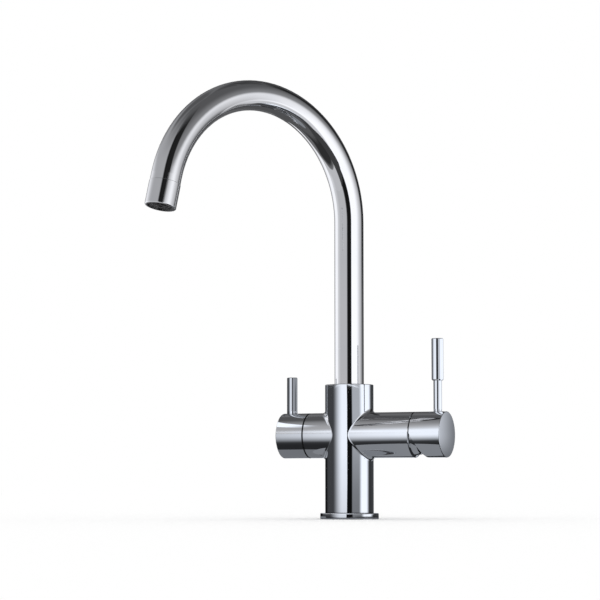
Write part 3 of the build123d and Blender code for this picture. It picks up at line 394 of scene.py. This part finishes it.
def roof_height(radius):
    """The room's roof rises just under the line along which the camera sees the spout's foot reflect."""
    return SPOUT_FOOT_HEIGHT + ROOF_SLOPE * (radius - SPOUT_FOOT_RADIUS)


def wall(layer, low=ROOM_FOOT, high=roof_height(ROOM_RADIUS)):
    """Radii and heights of an upright card of the room; a higher layer lies nearer."""
    radius = ROOM_RADIUS - layer * ROOM_LAYER
    return [(radius, low), (radius, high)]


def deck(inner, outer=ROOM_RADIUS, layer=0):
    """Radii and heights of a card along the roof that is seen from above; a higher layer lies higher."""
    rise = DECK_RISE * (1 + layer)
    return [(inner, roof_height(inner) + rise), (outer, roof_height(outer) + rise)]


def level(height, inner, outer):
    """Radii and heights of a flat card."""
    return [(inner, height), (outer, height)]


def card(name, azimuths, profile, colour, fades=NO_FADES, inside=False, reach=0):
    """A card swept round the tap between two azimuths, with a profile of radii and heights."""
    left, right = azimuths
    points, uvs, faces = [], [], []
    for row, (radius, height) in enumerate(profile):
        for i in range(CARD_STEPS + 1):
            share = i / CARD_STEPS
            points.append(round_tap(left + (right - left) * share, radius, height))
            uvs.append((share, row / (len(profile) - 1)))
    for row in range(len(profile) - 1):
        start = row * (CARD_STEPS + 1)
        for i in range(start, start + CARD_STEPS):
            faces.append((i, i + 1, i + CARD_STEPS + 2, i + CARD_STEPS + 1))
    return stage_mesh(name, points, faces, card_finish(name, colour, fades, inside, reach), uvs)


def panel(name, corner, across, up, colour, fades=NO_FADES, inside=False, reach=0):
    """A flat card from one corner along two edges."""
    points = [corner, corner + across, corner + across + up, corner + up]
    uvs = [(0, 0), (1, 0), (1, 1), (0, 1)]
    return stage_mesh(name, points, [(0, 1, 2, 3)], card_finish(name, colour, fades, inside, reach), uvs)


def far(value):
    """The dome's faintly cool light."""
    return tuple(value * tint for tint in FAR_TINT)


def near(value):
    """The room's cooler light."""
    return tuple(value * tint for tint in NEAR_TINT)


# Each card has a name, azimuths in degrees, a profile and a colour.
# Its fades, if it has any, are shares of its width and its height.
FAR_CARDS = [
    ("dome_base", ALL_ROUND, dome(0, -90, 90), far(0.10)),
    ("dome_back_high", (110, 250), dome(0.5, 8, 88), far(0.05), (0.3, 0.3, 0.2, 0.3)),
    ("dome_left_high", (-190, -40), dome(0.75, 15, 90), far(0.17), (0.2, 0.35, 0.4, 0)),
    ("dome_left", (-160, -14), dome(1, -60, 78), far(0.42), (0.3, 0.04, 0, 0.34)),
    ("dome_left_top", (-172, -68), dome(1.5, 46, 88), far(0.095), (0.2, 0.38, 0.3, 0.1)),
    ("dome_left_low", (-96, -14), dome(2, -52, 22), far(0.52), (0.1, 0.08, 0, 0.2)),
    ("dome_left_back", (-168, -68), dome(3, -38, 32), far(1.08), (0.45, 0.5, 0.2, 0.3)),
    ("dome_back", (150, 196), dome(4, -20, 30), far(0.15), (0.3, 0.3, 0.3, 0.4)),
    ("dome_right_high", (14, 124), dome(5, 0, 58), far(0.26), (0.1, 0.25, 0, 0.75)),
    ("dome_right", (17, 128), dome(6, -64, 24), far(0.6), (0.03, 0.3, 0.12, 0.18)),
    ("dome_right_white", (17, 100), dome(7, -64, 22), far(1.15), (0.03, 0.53, 0.14, 0.18)),
    ("dome_back_dark", (114, 154), dome(8, 2, 56), far(0.02), (0.2, 0.25, 0.1, 0.2)),
    ("dome_front_dark", (-13, 17), dome(9, -33, 54), far(0.008), (0.06, 0.1, 0.03, 0.05)),
    ("dome_front_high", (-8, 33), dome(10, 15, 74), far(0.015), (0.15, 0.2, 0.13, 0.5)),
]
ROOM_CARDS = [
    ("wall_base", ALL_ROUND, wall(0, ROOM_DEPTH), near(0.055)),
    ("wall_back", (160, 200), wall(1), near(0.8), (0.5, 0.5, 0, 0)),
    ("wall_back_low", (95, 280), wall(0.8, high=-0.02), near(0.5), (0.1, 0.25, 0, 0.15)),
    ("wall_low_dark", (-174, -112), wall(1.5, -0.03, LOW_WALL_TOP), near(0.004), (0.2, 0.5, 0, 0.1)),
    ("wall_left", (-83.5, -11), wall(1), near(1.05), (0.72, 0, 0.87, 0)),
    ("wall_front", (-12, 14.5), wall(2), near(0.005), (0, 0.2, 0, 0)),
    ("wall_right", (9, 54), wall(1), near(0.2)),
    ("wall_right_high", (9, 54), wall(1.5, 0), near(0.46), (0, 0, 0.8, 0)),
    ("wall_right_white", (44, 123), wall(2), near(1.12), (0.2, 0.3, 0, 0)),
    ("wall_low_right", (84, 128), wall(3, high=LOW_WALL_TOP), near(0.04), (0.5, 0.1, 0, 0.1)),
    ("deck_base", ALL_ROUND, deck(0.16, layer=-3), far(0.14), (0, 0, 0.2, 0)),
    ("deck_left", (-160, -14), deck(0.2, layer=-1.5), far(0.56), (0.1, 0.05, 0.1, 0)),
    ("deck_left_back", (-168, -68), deck(0.25, layer=-1), far(1.08), (0.18, 0.5, 0.5, 0)),
    ("deck_left_near", (-135, -14), deck(0.14, 0.225), far(0.16), (0.1, 0.05, 0.1, 0.1)),
    ("cap_light", (-110, -60), CAP_LIGHT, near(1.15), (0, 0.3, 0, 0)),
    ("deck_left_dark", (-106, -6), deck(0.085, 0.215, 0.5), far(0.03), (0.14, 0.1, 0.3, 0.22)),
    ("deck_right", (16, 135), deck(0.16), far(0.65), (0.05, 0.25, 0.1, 0)),
    ("deck_right_white", (17, 100), deck(0.25, layer=0.2), far(1.15), (0.03, 0.53, 0.5, 0)),
    ("deck_front", (-18, 24), deck(0.1, layer=1), far(0.05)),
    ("deck_back", (95, 250), deck(0.022, 0.35), far(0.09), (0.1, 0.15, 0, 0.2)),
]

# Rings round the levers at rest: the lever's place along X, the ring's foot and top, and each card's
# azimuths, colour and fades, from the outermost card to the innermost
LEVER_CARDS = {
    "mixer_lever": (0.0804, (0.092, 0.157), [
        (ALL_ROUND, near(0.12), NO_FADES),
        ((-88, -18), near(1.0), (0.63, 0, 0, 0)),
        ((6, 44), near(0.6), NO_FADES),
        ((24, 130), near(1.1), (0.14, 0.35, 0, 0)),
        ((-21.5, 6.5), near(0.02), (0.1, 0.1, 0, 0)),
    ]),
    "filter_lever": (-0.0535, (0.092, 0.124), [
        (ALL_ROUND, near(0.085), NO_FADES),
        ((-57, -6), near(0.85), (0.58, 0, 0, 0)),
        ((6, 130), near(0.32), (0, 0.1, 0, 0)),
        ((46, 72), near(0.1), (0.3, 0.3, 0, 0.6)),
        ((-7, 10), near(0.02), (0.1, 0.1, 0, 0)),
    ]),
}

# Cards just over the floor: a corner, the width and depth from there, the colour and the fades
FLOOR_CARDS = [
    ("floor_dark", (-0.3, -0.15, 0.0003), (0.6, 0.45), near(0.022), (0, 0, 0.2, 0)),
    ("stand_left", (-0.25, -0.0305, 0.00035), (0.2, 0.12), near(0.19), NO_FADES),
]


def build_lever_cards():
    """The rings round the levers, each card a little inside the one before it."""
    for lever, (place, (low, high), bands) in LEVER_CARDS.items():
        for i, (azimuths, colour, fades) in enumerate(bands):
            radius = LEVER_ROOM - i * LEVER_LAYER
            profile = [(radius, low), (radius, high)]
            name = f"{lever}_card_{i}"
            ring = card(name, azimuths, profile, colour, fades, inside=True, reach=LEVER_REACH)
            ring.location.x = place


def build_floor_cards():
    """The grey disc round the flange, and the cards that lie on the floor beside it."""
    stand = card("stand", ALL_ROUND, level(STAND_HEIGHT, 0, STAND_RADIUS), near(STAND_LIGHT))
    stand.location = from_camera(*STAND_PLACE, 0)
    for name, corner, (width, depth), colour, fades in FLOOR_CARDS:
        across = Vector((width, 0, 0))
        back = Vector((0, depth, 0))
        panel(name, Vector(corner), across, back, colour, fades, reach=FLOOR_REACH)


def build_roof():
    """The light just under the roof, which the arms see."""
    across = Vector((ROOF_RIGHT - ROOF_LEFT, ROOF_SLANT * (ROOF_RIGHT - ROOF_LEFT), 0))
    corner = Vector((ROOF_LEFT, ROOF_FRONT + ROOF_SLANT * ROOF_LEFT - ROOF_DEPTH, 0))
    depth = Vector((0, ROOF_DEPTH, -ROOF_SLOPE * ROOF_DEPTH))
    across.z = -ROOF_SLOPE * across.y
    corner.z = roof_height(-corner.y) - DECK_RISE
    panel("roof", corner, across, depth, near(ROOF_LIGHT), ROOF_FADES, inside=True)


def build_end_cards():
    """The card beside the mixer handle's end, with light over one side of it."""
    across = round_tap(END_AZIMUTH + 90, END_WIDTH, 0)
    nearer = round_tap(END_AZIMUTH, END_LAYER, 0)
    corner = from_camera(*END_SPOT, END_FOOT) - across / 2
    up = Vector((0, 0, END_HEIGHT))
    panel("end_dark", corner, across, up, near(END_DARK), reach=END_REACH)
    panel("end_light", corner - nearer, across, up, near(END_LIGHT), END_FADES, reach=END_REACH)


def build_floor():
    """The plain white floor. Polished faces see the cards instead of it."""
    half = FLOOR_SIZE / 2
    corners = [(-half, -half, 0), (half, -half, 0), (half, half, 0), (-half, half, 0)]
    material, tree, output = new_material("pale_floor")
    finish_shader(tree, output, Base_Color=(1, 1, 1, 1), Roughness=FLOOR_ROUGHNESS, Specular_IOR_Level=0.0)
    floor = stage_mesh("floor", corners, [(0, 1, 2, 3)], material)
    floor.visible_camera = True
    floor.visible_diffuse = True
    floor.visible_shadow = True
    floor.visible_glossy = False


def build_world():
    """Even white light from all round."""
    world = bpy.data.worlds.new("white_studio")
    bpy.context.scene.world = world
    world.use_nodes = True
    background = world.node_tree.nodes["Background"]
    background.inputs["Color"].default_value = (1, 1, 1, 1)
    background.inputs["Strength"].default_value = 1.0


def build_studio():
    """A white floor and background, with the cards that shape the reflections."""
    for entry in FAR_CARDS:
        card(*entry)
    for entry in ROOM_CARDS:
        card(*entry, inside=True)
    build_lever_cards()
    build_floor_cards()
    build_roof()
    build_end_cards()
    build_floor()
    build_world()


def build_camera():
    """The photograph's camera."""
    data = bpy.data.cameras.new("camera")
    data.sensor_width = SENSOR_MM
    data.lens = FOCAL_PIXELS / PHOTO_PIXELS * SENSOR_MM
    camera = bpy.data.objects.new("camera", data)
    bpy.context.scene.collection.objects.link(camera)
    camera.location = from_camera(CAMERA_RIGHT, -CAMERA_DISTANCE, CAMERA_HEIGHT)
    flat = cos(CAMERA_PITCH)
    forward = from_camera(sin(CAMERA_YAW) * flat, cos(CAMERA_YAW) * flat, sin(CAMERA_PITCH))
    camera.rotation_mode = "QUATERNION"
    camera.rotation_quaternion = forward.to_track_quat("-Z", "Y")
    bpy.context.scene.camera = camera


dress_frame()
add_detail()
build_studio()
build_camera()
bpy.context.scene.view_settings.view_transform = "Standard"
